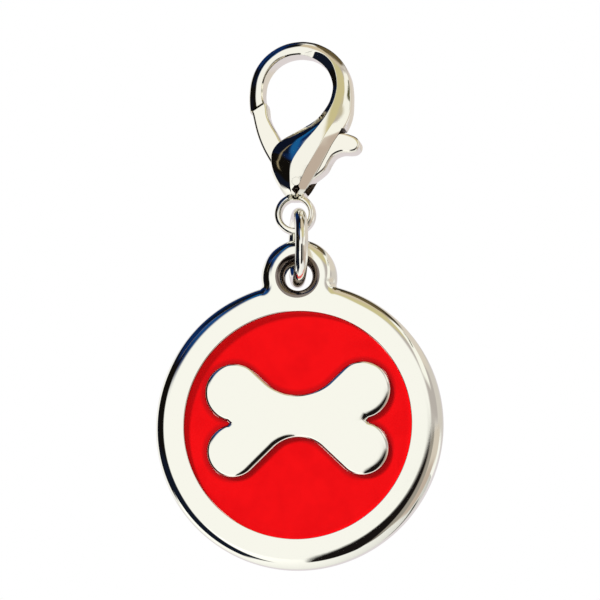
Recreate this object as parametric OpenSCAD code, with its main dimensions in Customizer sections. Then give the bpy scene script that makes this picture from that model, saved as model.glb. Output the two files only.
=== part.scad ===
// Pet identity tag: an enamelled round tag with a raised bone, a jump ring and a lobster clasp.
// It hangs from the crown of the clasp's hook, which is the origin. Front is towards -Y, up is +Z.

/* [Tag] */
// Diameter of the round tag
tag_d = 31; // [26:0.5:40]
// Thickness of the tag
tag_t = 2.6; // [2.2:0.1:3.4]
// Radius of the rounded front edge of the rim
rim_edge = 1.25; // [0.8:0.05:1.5]
// Radius of the small round on the back edge of the rim
back_edge = 0.5; // [0.2:0.05:0.6]
// Distance from the centre of the tag to the centre of its eye
eye_up = 16.15; // [15:0.05:22]
// Outer diameter of the tag's eye
eye_d = 8.1; // [7.4:0.1:9]
// Diameter of the hole in the tag's eye
eye_hole_d = 3.05; // [2.8:0.05:3.4]
// Radius of the round on both ends of the eye's hole
eye_hole_edge = 0.85; // [0.5:0.05:0.95]

/* [Enamel] */
// Diameter of the enamelled field
enamel_d = 24.6; // [20:0.2:25]
// Thickness of the enamel
enamel_t = 0.55; // [0.3:0.05:0.8]
// Depth of the enamel's surface below the metal rim
enamel_drop = 0.35; // [0.15:0.05:0.5]
// Gap between the enamel and the metal walls round it
enamel_gap = 0.02; // [0.01:0.01:0.05]

/* [Bone] */
// Height of the bone's middle above the centre of the tag
bone_up = 0.6; // [-1:0.1:1]
// Sideways distance of the upper knobs from the middle
knob_top_x = 6.95; // [5.5:0.05:7.4]
// Height of the upper knobs above the bone's middle
knob_top_z = 3.05; // [2.6:0.05:3.6]
// Radius of the upper knobs
knob_top_r = 3.1; // [2.6:0.05:3.3]
// Sideways distance of the lower knobs from the middle
knob_low_x = 7; // [5.5:0.05:7.4]
// Drop of the lower knobs below the bone's middle
knob_low_z = 3.3; // [2.6:0.05:3.6]
// Radius of the lower knobs
knob_low_r = 2.85; // [2.5:0.05:3.2]
// Height of the shank's upper edge at its narrowest
shank_top = 2.65; // [1.8:0.05:3]
// Radius of the hollow in the shank's upper edge
shank_top_r = 5.1; // [3:0.1:5.5]
// Drop of the shank's lower edge at its narrowest
shank_low = 1.95; // [1.6:0.05:2.4]
// Radius of the hollow in the shank's lower edge
shank_low_r = 3.7; // [2.5:0.1:4.4]
// Sideways distance of the notch between two knobs
notch_x = 7.65; // [6.4:0.05:7.8]
// Radius of the round on the bone's upper edge
bone_edge = 0.3; // [0.1:0.05:0.45]

/* [Jump ring] */
// Outer diameter of the jump ring
ring_d = 8.7; // [8:0.1:10]
// Diameter of the jump ring's wire
wire_d = 1.4; // [1:0.05:1.6]
// Width of the cut between the wire's ends
wire_cut = 0.06; // [0.04:0.01:0.15]
// Turn of the ring about the upright line
ring_yaw = 14; // [0:1:20]
// Height of the middle of the tag's hole above the wire that carries it
wire_rest = 0.45; // [0.2:0.05:0.6]

/* [Clasp] */
// Length of the clasp, from the hook's top to the bottom of its eye
clasp_l = 21; // [19:0.5:24]
// Width of the clasp, from the hook's left side to the tip of the thumb tab
clasp_w = 12; // [11:0.25:14]
// Thickness of the clasp's body across both cheeks
clasp_t = 5; // [4.2:0.1:5.4]
// Thickness of the hook
hook_t = 3.3; // [2.8:0.1:3.8]
// Width of the hook's limb at the crown
crown_w = 1.55; // [1.3:0.05:1.8]
// Fall of the bevels on the hook, from its flat ridge to its walls
hook_bevel = 0.63; // [0.3:0.01:0.9]
// Fall of the bevels on the body
body_bevel = 0.87; // [0.4:0.01:1]
// Round along the lines between ridge, bevels and walls
bevel_r = 0.2; // [0.05:0.05:0.3]
// Thickness of the clasp's own eye
clasp_eye_t = 1.9; // [1.4:0.1:2.2]
// Outer diameter of the clasp's own eye
clasp_eye_d = 4.4; // [4.2:0.1:5]
// Diameter of the hole in the clasp's own eye
clasp_eye_hole_d = 3; // [2.8:0.05:3.2]
// Radius of the rounds on the edges of the clasp's own eye
clasp_eye_edge = 0.45; // [0.2:0.05:0.5]

/* [Lever] */
// Thickness of the lever
lever_t = 2.8; // [1.8:0.1:3.2]
// Radius of the rounds along the lever's edges
lever_edge = 0.3; // [0.1:0.05:0.35]
// Gap between the lever and each cheek
side_gap = 0.1; // [0.06:0.02:0.2]
// Gap between the gate's end and the nose of the hook
nose_gap = 0.1; // [0.06:0.02:0.2]
// Diameter of the lever's pin
pin_d = 0.9; // [0.7:0.05:1]
// Gap round the pin in the lever's bore
pin_gap = 0.05; // [0.03:0.01:0.08]
// Depth that each end of the riveted pin lies below the cheeks
pin_sink = 0.25; // [0.05:0.05:0.4]
// Gap round the pin in the cheeks
rivet_gap = 0.01; // [0.01:0.005:0.02]

/* [Spring] */
// Thickness of the spring's strip
strip_t = 0.22; // [0.15:0.01:0.3]
// Width of the spring's strip
strip_w = 1.9; // [1:0.1:2.2]
// Gap between the spring and what it bears on
spring_gap = 0.08; // [0.06:0.01:0.12]

/* [Hidden] */
// Overrun of the cuts past the faces that they open
over = 0.5;
// Depth that joined solids reach into each other
seat = 0.2;
round_fn = 96;
edge_steps = 3;
curve_steps = 3;
spine_steps = 2;
bevel_steps = 2;
// The most of a side that a rounded corner takes
round_share = 0.45;
knob_steps = 14;
hollow_steps = 5;

// The clasp's outlines are drawn from the crown: across as shares of its width, down as shares of its drop.
drop = clasp_l - crown_w;
// Middle and radius of the hook's outer curve
hook_mid_shares = [0.0167, -0.2083];
hook_r_share = 0.4667;
// Middle and radius of the hole in the hook
hole_mid_shares = [-0.0042, -0.1954];
// The hook is swept from its nose over the crown. The nose's two ends, along the line of its seat
nose_shares = [-0.19, 1.17];
// The limb just above the nose, its outer and its inner side
limb_shares = [[-0.4500, -0.2622], [-0.3192, -0.2339]];
// Round the crown: angle, the flat ridge's start and end across the limb, the inner bevel's fall beside
// the outer one's, and the thickness, which goes from the hook's at 0 over the body's at 1 to the eye's at 2
crown_shares = [
    [180, 0.47, 0.90, 0.31, 0], [165, 0.46, 0.90, 0.31, 0], [150, 0.44, 0.90, 0.31, 0.01],
    [135, 0.42, 0.90, 0.31, 0.02], [120, 0.39, 0.90, 0.31, 0.04], [105, 0.34, 0.90, 0.31, 0.06],
    [90, 0.29, 0.90, 0.31, 0.08], [78, 0.28, 0.86, 0.42, 0.09], [68, 0.28, 0.66, 0.89, 0.11],
    [55, 0.28, 0.62, 1.06, 0.12], [42, 0.27, 0.63, 1.12, 0.13], [30, 0.25, 0.67, 1.12, 0.14],
    [15, 0.23, 0.73, 1.12, 0.15], [0, 0.21, 0.79, 1.12, 0.15]];
// Down the right limb and the body: the outer side, the inner side, then ridge, fall and thickness alike
body_shares = [
    [0.4833, -0.2674, 0.2883, -0.2622, 0.21, 0.81, 1.10, 0.23],
    [0.4767, -0.3239, 0.2417, -0.3136, 0.23, 0.84, 1.08, 0.35],
    [0.4567, -0.3702, 0.1800, -0.3589, 0.25, 0.85, 1.06, 0.48],
    [0.4225, -0.4139, 0.1050, -0.3918, 0.25, 0.81, 1.04, 0.60],
    [0.3717, -0.4576, 0.0250, -0.4165, 0.23, 0.73, 1.02, 0.72],
    [0.3183, -0.5013, -0.0617, -0.4411, 0.205, 0.65, 1.00, 0.83],
    [0.2842, -0.5373, -0.1433, -0.4668, 0.185, 0.585, 1.00, 0.91],
    [0.2542, -0.5717, -0.2083, -0.4977, 0.173, 0.545, 1.00, 0.95],
    [0.2233, -0.6067, -0.2500, -0.5368, 0.174, 0.52, 1.00, 0.98],
    [0.1950, -0.6401, -0.2633, -0.5851, 0.184, 0.525, 1.00, 1.00],
    [0.1625, -0.6735, -0.2517, -0.6365, 0.20, 0.54, 1.00, 1.01],
    [0.1308, -0.7069, -0.2233, -0.6848, 0.225, 0.57, 1.00, 1.02],
    [0.1000, -0.7404, -0.1867, -0.7290, 0.25, 0.60, 1.00, 1.06],
    [0.0700, -0.7702, -0.1483, -0.7671, 0.28, 0.62, 1.00, 1.21],
    [0.0433, -0.7943, -0.1183, -0.7938, 0.31, 0.65, 0.95, 1.56],
    [0.0300, -0.8123, -0.1050, -0.8123, 0.34, 0.68, 0.90, 2.04]];
// The nose's slanting seat, from its outer to its inner end
seat_out_shares = [-0.4230, -0.3105];
seat_in_shares = [-0.3250, -0.2720];
// The face of the gate's arm that the spring pushes on, from its lower to its upper end
arm_face_shares = [[-0.125, -0.5380], [-0.205, -0.4450]];
// The face of the bridge between the cheeks that the spring bears on, from its lower to its upper end
bridge_face_shares = [[0.085, -0.5300], [0.062, -0.3400]];
// The lever, from the gate's end down its outer side, round the hub and the tab and back
lever_shares = [
    [-0.442, -0.2650], [-0.415, -0.3350], [-0.388, -0.4100], [-0.352, -0.4800], [-0.300, -0.5500],
    [-0.225, -0.6270], [-0.140, -0.6990], [-0.086, -0.7430], [-0.025, -0.7676], [0.042, -0.7583],
    [0.115, -0.7320], [0.190, -0.7020], [0.243, -0.6500], [0.285, -0.6050], [0.325, -0.5720],
    [0.392, -0.5550], [0.465, -0.5560], [0.517, -0.5500], [0.550, -0.5280], [0.554, -0.4990],
    [0.525, -0.4730], [0.465, -0.4550], [0.392, -0.4430], [0.330, -0.4480], [0.290, -0.4800],
    [0.215, -0.5570], [0.142, -0.6280], [0.070, -0.6660], [0.005, -0.6620], [-0.055, -0.6150],
    arm_face_shares[0], arm_face_shares[1], [-0.256, -0.3900], [-0.285, -0.3380], [-0.310, -0.2550]];
// The lever's pivot
pivot_shares = [-0.0083, -0.7200];
// The edge of the slot between the cheeks, under the bridge that joins them
slot_shares = [
    [-0.540, -0.3400], [-0.540, -0.6300], [-0.250, -0.6400], [-0.156, -0.7060], [-0.098, -0.7560],
    [-0.055, -0.7770], [0.700, -0.7770], [0.700, -0.4150], [0.372, -0.4200], [0.310, -0.4310],
    [0.268, -0.4700], [0.195, -0.5450], [0.150, -0.5900], bridge_face_shares[0], bridge_face_shares[1]];
// The bottom of the lever's fork, where the spring's bend lies, and the bend's radius
fork_shares = [0.0375, -0.6665];
bend_r_share = 0.034;
// Where the spring's legs end, up the arm's face and up the bridge's face
leg_up_shares = [0.34, 0.16];
// The middles of the clasp's own eye and of the ring, across
clasp_eye_x_share = -0.0417;
ring_x_share = -0.0167;

// Places that follow from the sizes above
hook_r = clasp_w * hook_r_share;
hole_r = -hole_mid_shares.y * drop;
bend_r = clasp_w * bend_r_share;
clasp_eye_x = clasp_w * clasp_eye_x_share;
clasp_eye_z = clasp_eye_d / 2 - drop;
ring_x = clasp_w * ring_x_share;
ring_r = (ring_d - wire_d) / 2;
ring_z = clasp_eye_z - ring_r;
tag_x = ring_x / 2;
eye_z = ring_z - ring_r + wire_rest;
tag_z = eye_z - eye_up;
pocket = enamel_t + enamel_drop;
bone_h = pocket + seat;

function on_clasp(share) = [share.x * clasp_w, share.y * drop];
function along(shares) = [for (share = shares) on_clasp(share)];
function arc(middle, radius, from, to, count) = [
    for (i = [0:count])
        let(angle = from + (to - from) * i / count)
        middle + radius * [cos(angle), sin(angle)]];

// A closed curve through the points
function between(a, b, c, d, t) =
    0.5 * (2 * b + (c - a) * t + (2 * a - 5 * b + 4 * c - d) * t * t + (3 * b - a - 3 * c + d) * t * t * t);
function curve(points, steps) = let(n = len(points)) [
    for (i = [0:n - 1], k = [0:steps - 1])
        between(points[(i + n - 1) % n], points[i], points[(i + 1) % n], points[(i + 2) % n], k / steps)];

// An open curve through rows of numbers
function run(rows, steps) = let(last = len(rows) - 1) concat(
    [for (i = [0:last - 1], k = [0:steps - 1])
        between(rows[max(i - 1, 0)], rows[i], rows[i + 1], rows[min(i + 2, last)], k / steps)],
    [rows[last]]);

// The same outline moved inwards; the points run counterclockwise
function inwards(points, depth) = let(n = len(points)) [
    for (i = [0:n - 1])
        let(way = points[(i + 1) % n] - points[(i + n - 1) % n])
        points[i] + depth * [-way.y, way.x] / norm(way)];

// Triangles that fill a counterclockwise outline, cut off one corner at a time
function turn(a, b, c) = (b.x - a.x) * (c.y - a.y) - (b.y - a.y) * (c.x - a.x);
function covers(a, b, c, p) = turn(a, b, p) >= 0 && turn(b, c, p) >= 0 && turn(c, a, p) >= 0;
function is_ear(points, left, i) = let(
    n = len(left),
    before = left[(i + n - 1) % n],
    after = left[(i + 1) % n],
    a = points[before],
    b = points[left[i]],
    c = points[after])
    turn(a, b, c) > 0 && len([for (k = left) if (k != before && k != left[i] && k != after)
        if (covers(a, b, c, points[k])) k]) == 0;
function next_ear(points, left, i) =
    i >= len(left) || is_ear(points, left, i % len(left)) ? i : next_ear(points, left, i + 1);
function fill(points, left, start = 0) = len(left) < 3 ? [] : let(
    n = len(left),
    found = next_ear(points, left, start % n),
    i = (found < n ? found : next_ear(points, left, 0)) % n,
    rest = [for (k = [0:n - 1]) if (k != i) left[k]])
    concat([[left[(i + n - 1) % n], left[i], left[(i + 1) % n]]], fill(points, rest, i + 1));

// Triangles between rows of as many points each, counterclockwise as seen from the last row
function skin(rows, n) = [
    for (row = [0:rows - 2], i = [0:n - 1])
        let(a = row * n + i, b = row * n + (i + 1) % n) each [[a, a + n, b], [b, a + n, b + n]]];

// A plate with its outline rounded towards both faces, from -thick/2 to thick/2
module rounded_plate(outline, thick, edge_in, edge_down) {
    n = len(outline);
    steps = [for (k = [0:edge_steps]) 90 * k / edge_steps];
    up = [for (a = steps) [edge_in * (1 - cos(a)), thick / 2 - edge_down * (1 - sin(a))]];
    down = [for (k = [edge_steps:-1:0]) [up[k].x, -up[k].y]];
    layers = concat(down, up);
    rows = len(layers);
    points = [for (layer = layers, p = inwards(outline, layer.x)) [p.x, p.y, layer.y]];
    low = fill(inwards(outline, edge_in), [for (i = [0:n - 1]) i]);
    high = [for (t = low) (rows - 1) * n * [1, 1, 1] + [t[2], t[1], t[0]]];
    polyhedron(points, concat(low, skin(rows, n), high), convexity = 8);
}

// Stands a shape that is drawn flat upright, with its top towards the front
module upright() {
    rotate([90, 0, 0]) children();
}

// Half section of a round plate: flat faces, a big round in front and a small one behind
module plate_section(radius, thick, front, back) {
    translate([0, -thick / 2]) square([radius - back, thick]);
    translate([0, back - thick / 2]) square([radius, thick - back - front]);
    translate([0, thick / 2 - front]) square([radius - front, front]);
    translate([radius - front, thick / 2 - front]) circle(r = front, $fn = round_fn);
    translate([radius - back, back - thick / 2]) circle(r = back, $fn = round_fn);
}

// Half section of a hole that widens towards both faces
module flare_section(radius, thick, edge) {
    difference() {
        translate([0, -thick / 2 - over]) square([radius + edge, thick + 2 * over]);
        for (side = [-1, 1])
            translate([radius + edge, side * (thick / 2 - edge)]) circle(r = edge, $fn = round_fn);
        translate([radius, edge - thick / 2]) square([edge + over, thick - 2 * edge]);
    }
}

// Outline of the bone about its own middle, grown by a margin
function knob_touch(knob, knob_r, hollow, hollow_r) =
    let(way = hollow - knob) acos((knob_r + hollow_r) / norm(way));
function heading(way) = atan2(way.y, way.x);
function bone_side(x, z, r, shank, hollow_r, grow) = let(
    knob = [x, z],
    hollow = [0, shank + hollow_r],
    lean = heading(hollow - knob),
    touch = lean - knob_touch(knob, r, hollow, hollow_r),
    low = -acos((notch_x - x) / r))
    concat(
        arc(knob, r + grow, low, touch, knob_steps),
        arc(hollow, hollow_r - grow, touch - 180, -90, hollow_steps));
function back_again(points) = [for (i = [len(points) - 2:-1:0]) points[i]];
function bone_outline(grow) = let(
    top = bone_side(knob_top_x, knob_top_z, knob_top_r, shank_top, shank_top_r, grow),
    low = bone_side(knob_low_x, knob_low_z, knob_low_r, shank_low, shank_low_r, grow))
    concat(
        top,
        [for (p = back_again(top)) [-p.x, p.y]],
        [for (p = low) [-p.x, -p.y]],
        [for (p = back_again(low)) [p.x, -p.y]]);

// Sets a piece of the tag at its place
module at_tag() {
    translate([tag_x, 0, tag_z]) upright() children();
}

module tag_body() {
    color("gainsboro") at_tag() difference() {
        union() {
            difference() {
                for (up = [0, eye_up])
                    translate([0, up, 0]) rotate_extrude($fn = round_fn)
                        plate_section((up == 0 ? tag_d : eye_d) / 2, tag_t, rim_edge, back_edge);
                translate([0, 0, tag_t / 2 - pocket])
                    cylinder(d = enamel_d, h = pocket + over, $fn = round_fn);
            }
            translate([0, bone_up, tag_t / 2 - bone_h])
                rounded_plate(bone_outline(0), 2 * bone_h, bone_edge, bone_edge);
        }
        translate([0, eye_up, 0])
            rotate_extrude($fn = round_fn) flare_section(eye_hole_d / 2, tag_t, eye_hole_edge);
    }
}

module enamel_fill() {
    color("red") at_tag() translate([0, 0, tag_t / 2 - pocket]) linear_extrude(enamel_t) difference() {
        circle(d = enamel_d - 2 * enamel_gap, $fn = round_fn);
        translate([0, bone_up]) polygon(bone_outline(enamel_gap));
    }
}

module jump_ring() {
    cut = wire_cut / ring_r * 180 / PI;
    color("silver") translate([ring_x, 0, ring_z]) rotate([0, 0, 90 + ring_yaw]) rotate([90, 0, 0])
        rotate([0, 0, cut / 2]) rotate_extrude(angle = 360 - cut, $fn = round_fn)
        translate([ring_r, 0]) circle(d = wire_d, $fn = round_fn);
}

// Rows of the sweep: outer side, inner side, the ridge's start and end, the inner bevel's fall, thickness
function last_four(row) = [for (i = [len(row) - 4:len(row) - 1]) row[i]];
function spine_rows() = let(
    out = on_clasp(seat_out_shares),
    seat_way = on_clasp(seat_in_shares) - out,
    outer = on_clasp(hook_mid_shares),
    hole = on_clasp(hole_mid_shares),
    nose = last_four(crown_shares[0]))
    concat(
        [concat(out + nose_shares[0] * seat_way, out + nose_shares[1] * seat_way, nose)],
        [concat(on_clasp(limb_shares[0]), on_clasp(limb_shares[1]), nose)],
        [for (row = crown_shares) let(way = [cos(row[0]), sin(row[0])])
            concat(outer + hook_r * way, hole + hole_r * way, last_four(row))],
        [for (row = body_shares)
            concat(on_clasp([row[0], row[1]]), on_clasp([row[2], row[3]]), last_four(row))]);

// Half the thickness at a row, and the fall of its outer bevel
function half_thick(mix) = mix < 1
    ? (hook_t + mix * (clasp_t - hook_t)) / 2
    : (clasp_t + (mix - 1) * (clasp_eye_t - clasp_t)) / 2;
function bevel_fall(mix) = mix < 1
    ? hook_bevel + mix * (body_bevel - hook_bevel)
    : body_bevel * 2 * half_thick(mix) / clasp_t;

// A corner between two sides, rounded off
function step_to(from, to) = from + min(bevel_r / norm(to - from), round_share) * (to - from);
function softened(before, corner, after) = let(
    start = step_to(corner, before),
    end = step_to(corner, after))
    [for (k = [0:bevel_steps]) let(t = k / bevel_steps)
        (1 - t) * (1 - t) * start + 2 * t * (1 - t) * corner + t * t * end];

// One section of the sweep: wall, outer bevel, ridge, inner bevel and wall, and the same behind
function section(row) = let(
    outer = [row[0], row[1]],
    inner = [row[2], row[3]],
    wide = norm(inner - outer),
    high = half_thick(row[7]),
    fall = bevel_fall(row[7]),
    corners = [
        [0, 0], [0, high - fall], [row[4] * wide, high], [row[5] * wide, high],
        [wide, high - row[6] * fall], [wide, 0]],
    front = [for (i = [1:4]) each softened(corners[i - 1], corners[i], corners[i + 1])],
    whole = concat(front, [for (i = [len(front) - 1:-1:0]) [front[i].x, -front[i].y]]))
    [for (p = whole) [each outer + p.x / wide * (inner - outer), p.y]];

// The hook and the body in one: bevelled sections swept from the nose over the crown to the neck
module swept_body() {
    sections = [for (row = run(spine_rows(), spine_steps)) section(row)];
    rows = len(sections);
    n = len(sections[0]);
    ends = [for (i = [1:n - 2]) [0, i, i + 1]];
    far_ends = [for (t = ends) (rows - 1) * n * [1, 1, 1] + [t[2], t[1], t[0]]];
    polyhedron([for (row = sections) each row], concat(ends, skin(rows, n), far_ends), convexity = 8);
}

// The half of the plane past the nose's seat, moved off by a gap
module past_seat(gap) {
    out = on_clasp(seat_out_shares);
    into = on_clasp(seat_in_shares);
    way = (into - out) / norm(into - out);
    off = [way.y, -way.x];
    reach = clasp_w / 4;
    a = out + gap * off - reach * way;
    b = into + gap * off + reach / 4 * way;
    polygon([a, a + reach * off, b + reach * off, b]);
}

module clasp_body() {
    color("silver") upright() difference() {
        union() {
            swept_body();
            translate([clasp_eye_x, clasp_eye_z, 0]) rotate_extrude($fn = round_fn)
                plate_section(clasp_eye_d / 2, clasp_eye_t, clasp_eye_edge, clasp_eye_edge);
        }
        translate([0, 0, -lever_t / 2 - side_gap]) linear_extrude(lever_t + 2 * side_gap)
            polygon(along(slot_shares));
        translate([clasp_eye_x, clasp_eye_z, 0]) rotate_extrude($fn = round_fn)
            flare_section(clasp_eye_hole_d / 2, clasp_eye_t, clasp_eye_edge);
        translate(on_clasp(pivot_shares)) translate([0, 0, -clasp_t])
            cylinder(d = pin_d + 2 * rivet_gap, h = 2 * clasp_t, $fn = round_fn);
    }
}

module clasp_lever() {
    color("gainsboro") upright() difference() {
        rounded_plate(curve(along(lever_shares), curve_steps), lever_t, lever_edge, lever_edge);
        translate([0, 0, -lever_t]) linear_extrude(2 * lever_t) difference() {
            translate([-clasp_w, -drop / 3]) square([clasp_w, drop / 2]);
            past_seat(nose_gap);
        }
        translate(on_clasp(pivot_shares)) translate([0, 0, -lever_t])
            cylinder(d = pin_d + 2 * pin_gap, h = 2 * lever_t, $fn = round_fn);
    }
}

module lever_pin() {
    half = clasp_t / 2 - pin_sink;
    color("darkgray") upright() translate(on_clasp(pivot_shares)) translate([0, 0, -half])
        cylinder(d = pin_d, h = 2 * half, $fn = round_fn);
}

// A straight piece of strip from one point to another
module strip(from, to) {
    way = to - from;
    translate(from) rotate(heading(way)) translate([0, -strip_t / 2]) square([norm(way), strip_t]);
}

// The end of a leg of the spring, clear of the face that it bears on
function foot(face_shares, up_share, side) = let(
    face = along(face_shares),
    way = face[1] - face[0])
    face[0] + up_share * way + side * (strip_t / 2 + spring_gap) * [-way.y, way.x] / norm(way);

// A strip bent to a V: its bend lies in the lever's fork, one leg on the gate's arm and one on the bridge
module lever_spring() {
    bend = on_clasp(fork_shares) + [0, bend_r + strip_t / 2 + spring_gap];
    arm_foot = foot(arm_face_shares, leg_up_shares.x, -1);
    bridge_foot = foot(bridge_face_shares, leg_up_shares.y, 1);
    arm_way = heading(arm_foot - bend) + 90;
    bridge_way = heading(bridge_foot - bend) - 90;
    arm_side = bend_r * [cos(arm_way), sin(arm_way)];
    bridge_side = bend_r * [cos(bridge_way), sin(bridge_way)];
    color("slategray") upright() translate([0, 0, -strip_w / 2]) linear_extrude(strip_w) {
        difference() {
            translate(bend) circle(r = bend_r + strip_t / 2, $fn = round_fn);
            translate(bend) circle(r = bend_r - strip_t / 2, $fn = round_fn);
            polygon([
                bend, bend + 4 * arm_side, arm_foot + 4 * arm_side,
                bridge_foot + 4 * bridge_side, bend + 4 * bridge_side]);
        }
        strip(bend + arm_side, arm_foot);
        strip(bend + bridge_side, bridge_foot);
    }
}

clasp_body();
clasp_lever();
lever_pin();
lever_spring();
jump_ring();
tag_body();
enamel_fill();
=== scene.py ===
"""Pet identity tag: the looks of the enamelled tag, its jump ring and its lobster clasp."""

import math

import bmesh
import bpy
import numpy as np
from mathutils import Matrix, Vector


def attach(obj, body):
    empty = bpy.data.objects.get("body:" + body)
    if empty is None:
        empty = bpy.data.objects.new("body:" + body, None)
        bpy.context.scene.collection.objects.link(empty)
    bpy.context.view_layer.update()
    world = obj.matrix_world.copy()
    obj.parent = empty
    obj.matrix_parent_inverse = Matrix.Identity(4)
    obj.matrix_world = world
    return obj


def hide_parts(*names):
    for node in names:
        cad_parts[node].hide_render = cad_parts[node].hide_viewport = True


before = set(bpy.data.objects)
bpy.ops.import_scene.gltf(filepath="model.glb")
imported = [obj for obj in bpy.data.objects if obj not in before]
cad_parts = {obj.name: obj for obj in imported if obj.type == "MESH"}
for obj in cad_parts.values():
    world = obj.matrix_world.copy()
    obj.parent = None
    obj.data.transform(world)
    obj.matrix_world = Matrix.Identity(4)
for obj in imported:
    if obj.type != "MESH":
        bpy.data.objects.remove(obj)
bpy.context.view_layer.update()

MM = 0.001

# Sizes in millimetres, as in the part's source: the tag
TAG_X = -0.1
TAG_Z = -40.25
TAG_R = 15.5
TAG_HALF = 1.3
RIM_EDGE = 1.25
BACK_EDGE = 0.5
EYE_UP = 16.15
EYE_R = 4.05
EYE_HOLE_R = 1.525
EYE_HOLE_EDGE = 0.85
FIELD_R = 12.3
FIELD_DEPTH = 0.9
ENAMEL_Y = -0.95
BONE_UP = 0.6

# The jump ring
RING_X = -0.2
RING_Z = -20.9
RING_R = 3.65
WIRE_R = 0.7
RING_YAW = 14
WIRE_CUT = 0.06

# The clasp
CLASP_W = 12.0
CLASP_DROP = 19.45
LOOP_X = -0.5
LOOP_Z = -17.25
LOOP_R = 2.2
LOOP_HOLE_R = 1.5
LOOP_HALF = 0.95
LEVER_HALF = 1.4
SLOT_HALF = 1.5
PIN_X = -0.1
PIN_Z = -14.0
PIN_R = 0.45
CHEEK_HALF = 2.5

# How many points a round outline has
EYE_POINTS = 96
FIELD_POINTS = 240
BORE_POINTS = 64
PIN_POINTS = 48
ARC_POINTS = 129
WIRE_POINTS = 48

# A crease sharper than this, in degrees, stays sharp on a casting
SHARP_ANGLE = 35

# Vertices closer than this, in metres, are one
MERGE = 1e-8

# A flat starts with a narrow strip beside its rounded edge, so that it shades level
LAP = 0.04
WIDE_LAP = 0.05


def circle_points(x, z, radius, start, end, count):
    """Points along an arc in the X-Z plan, from one angle in degrees to another."""
    angles = np.radians(np.linspace(start, end, count))
    return np.stack([x + radius * np.cos(angles), z + radius * np.sin(angles)], 1)


def round_points(x, z, radius, count):
    """Points round a whole circle in the X-Z plan."""
    return circle_points(x, z, radius, 0, 360, count + 1)[:-1]


def quarter_turn(count):
    """The angles over a rounded edge, in radians."""
    return [math.radians(angle) for angle in np.linspace(0, 90, count)]


def mirrored(half):
    """A profile and its mirror image in Y, as rows of a distance and Y."""
    return half + [(across, -y) for across, y in half[::-1]]


def smooth_line(values, steps, closed=False):
    """A Catmull-Rom line through rows of numbers."""
    values = np.asarray(values, float)
    n = len(values)
    out = []
    for i in range(n if closed else n - 1):
        if closed:
            a, b, c, d = (values[(i + k) % n] for k in (-1, 0, 1, 2))
        else:
            b, c = values[i], values[i + 1]
            a = values[i - 1] if i else 2 * b - c
            d = values[i + 2] if i + 2 < n else 2 * c - b
        for k in range(steps):
            t = k / steps
            out.append(0.5 * (
                2 * b + (c - a) * t + (2 * a - 5 * b + 4 * c - d) * t**2 + (3 * b - a - 3 * c + d) * t**3))
    if not closed:
        out.append(values[-1])
    return np.array(out)


def inset(points, depth):
    """A closed outline moved inwards; the points run counterclockwise."""
    way = np.roll(points, -1, 0) - np.roll(points, 1, 0)
    way /= np.linalg.norm(way, axis=1)[:, None]
    return points + depth * np.stack([-way[:, 1], way[:, 0]], 1)


def level(points, y):
    """Plan points set at a depth along Y."""
    return np.stack([points[:, 0], np.full(len(points), y), points[:, 1]], 1)


def bridge(mesh, low, high, closed=True):
    """Quads between two rows of vertices."""
    n = len(low)
    for i in range(n if closed else n - 1):
        k = (i + 1) % n
        mesh.faces.new((low[i], low[k], high[k], high[i]))


def skin(mesh, rows, closed=True):
    """Quads over a stack of rows."""
    for low, high in zip(rows, rows[1:]):
        bridge(mesh, low, high, closed)


def add_row(mesh, row):
    """Vertices from points in millimetres."""
    return [mesh.verts.new(Vector(p) * MM) for p in row]


def round_rows(mesh, x, z, profile, count):
    """Rows of vertices round a middle, from rows of a radius and Y."""
    return [add_row(mesh, level(round_points(x, z, radius, count), y)) for radius, y in profile]


def ring_edges(mesh, row):
    """The edges round a closed row, made where they are missing."""
    return [mesh.edges.get(pair) or mesh.edges.new(pair) for pair in zip(row, row[1:] + row[:1])]


def fill_flat(mesh, *loops):
    """Triangles over a flat face bounded by an outer loop and its holes."""
    edges = [e for row in loops for e in ring_edges(mesh, row)]
    bmesh.ops.triangle_fill(mesh, use_beauty=True, edges=edges)


def mesh_data(mesh, name):
    """Turns a bmesh into plain mesh data."""
    data = bpy.data.meshes.new(name)
    mesh.to_mesh(data)
    mesh.free()
    return data


def add_object(name, data):
    """A new object in the scene."""
    thing = bpy.data.objects.new(name, data)
    bpy.context.scene.collection.objects.link(thing)
    return thing


def shade(data, sharp_angle):
    """Smooth shading that breaks at the creases."""
    data.shade_smooth()
    data.set_sharp_from_angle(angle=math.radians(sharp_angle))


def to_object(mesh, name, sharp_angle=SHARP_ANGLE):
    """Turns a bmesh into a smooth-shaded object with outward faces."""
    bmesh.ops.remove_doubles(mesh, verts=mesh.verts, dist=MERGE)
    bmesh.ops.recalc_face_normals(mesh, faces=mesh.faces)
    data = mesh_data(mesh, name)
    shade(data, sharp_angle)
    return add_object(name, data)


def settle(thing):
    """Applies what modifies a piece."""
    bpy.context.view_layer.update()
    made = bpy.data.meshes.new_from_object(thing.evaluated_get(bpy.context.evaluated_depsgraph_get()))
    thing.modifiers.clear()
    thing.data = made


def combine(thing, other, operation, finish=0):
    """Joins or cuts one solid with another. The faces that the other leaves take the finish of that number."""
    for face in other.data.polygons:
        face.material_index = finish
    modifier = thing.modifiers.new("combine", "BOOLEAN")
    modifier.operation = operation
    modifier.object = other
    modifier.solver = "EXACT"
    modifier.material_mode = "INDEX"
    settle(thing)
    bpy.data.objects.remove(other)


def reshade(thing):
    """Shades a cut piece anew, and lets its large faces set the normals at its edges."""
    shade(thing.data, SHARP_ANGLE)
    modifier = thing.modifiers.new("even", "WEIGHTED_NORMAL")
    modifier.keep_sharp = True
    modifier.weight = 100
    settle(thing)


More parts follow.
